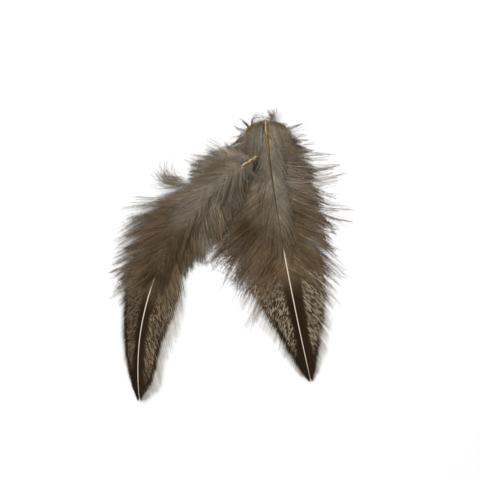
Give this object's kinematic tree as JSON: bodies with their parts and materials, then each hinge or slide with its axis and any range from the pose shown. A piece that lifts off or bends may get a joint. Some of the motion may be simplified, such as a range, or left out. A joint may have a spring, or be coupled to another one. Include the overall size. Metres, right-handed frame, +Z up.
{
  "type": "pair of loose downy feathers",
  "caption": "Two loose bird feathers with patterned tips and downy bases, crossed at their quills and lying underside up.",
  "frame": {"origin": "centre of the pair's outline, on the surface it lies on", "axes": "+Z up, away from the table and out of the feathers' undersides; the tips point to -Y, the quill ends to +Y, +X to the viewer's right"},
  "size_m": [0.1027, 0.1392, 0.011],
  "materials": {
    "quill": "glossy translucent horn",
    "pulp_caps": "dry papery skin",
    "shaft": "satin horn",
    "pith": "matte foam",
    "vane": "fine silky barbs, speckled and banded",
    "down": "matte down",
    "aftershaft": "satin horn",
    "afterdown": "silky matte down",
    "wisps": "matte down"
  },
  "bodies": {
    "lower_feather": {"lower_quill": "quill", "lower_quill_caps": "pulp_caps", "lower_shaft": "shaft", "lower_shaft_pith": "pith", "lower_vane_left": "vane", "lower_vane_right": "vane", "lower_down_left": "down", "lower_down_right": "down", "lower_aftershaft": "aftershaft", "lower_afterdown_left": "afterdown", "lower_afterdown_right": "afterdown", "lower_base_tufts": "wisps"},
    "upper_feather": {"upper_quill": "quill", "upper_quill_caps": "pulp_caps", "upper_shaft": "shaft", "upper_shaft_pith": "pith", "upper_vane_left": "vane", "upper_vane_right": "vane", "upper_down_left": "down", "upper_down_right": "down", "upper_side_tuft": "wisps"},
    "upper_afterfeather": {"upper_aftershaft": "aftershaft", "upper_afterdown_left": "afterdown", "upper_afterdown_right": "afterdown"}
  },
  "joints": [
    {"name": "lift_off", "type": "slide", "parent": "lower_feather", "child": "upper_feather", "axis": [0, 0, 1], "range_m": [0, 0.04]},
    {"name": "afterfeather_flex", "type": "hinge", "parent": "upper_feather", "child": "upper_afterfeather", "pos_m": [0.00974, 0.04183, 0.01005], "axis": [-0.5652, 0.825, 0], "range_deg": [0, 25]}
  ]
}
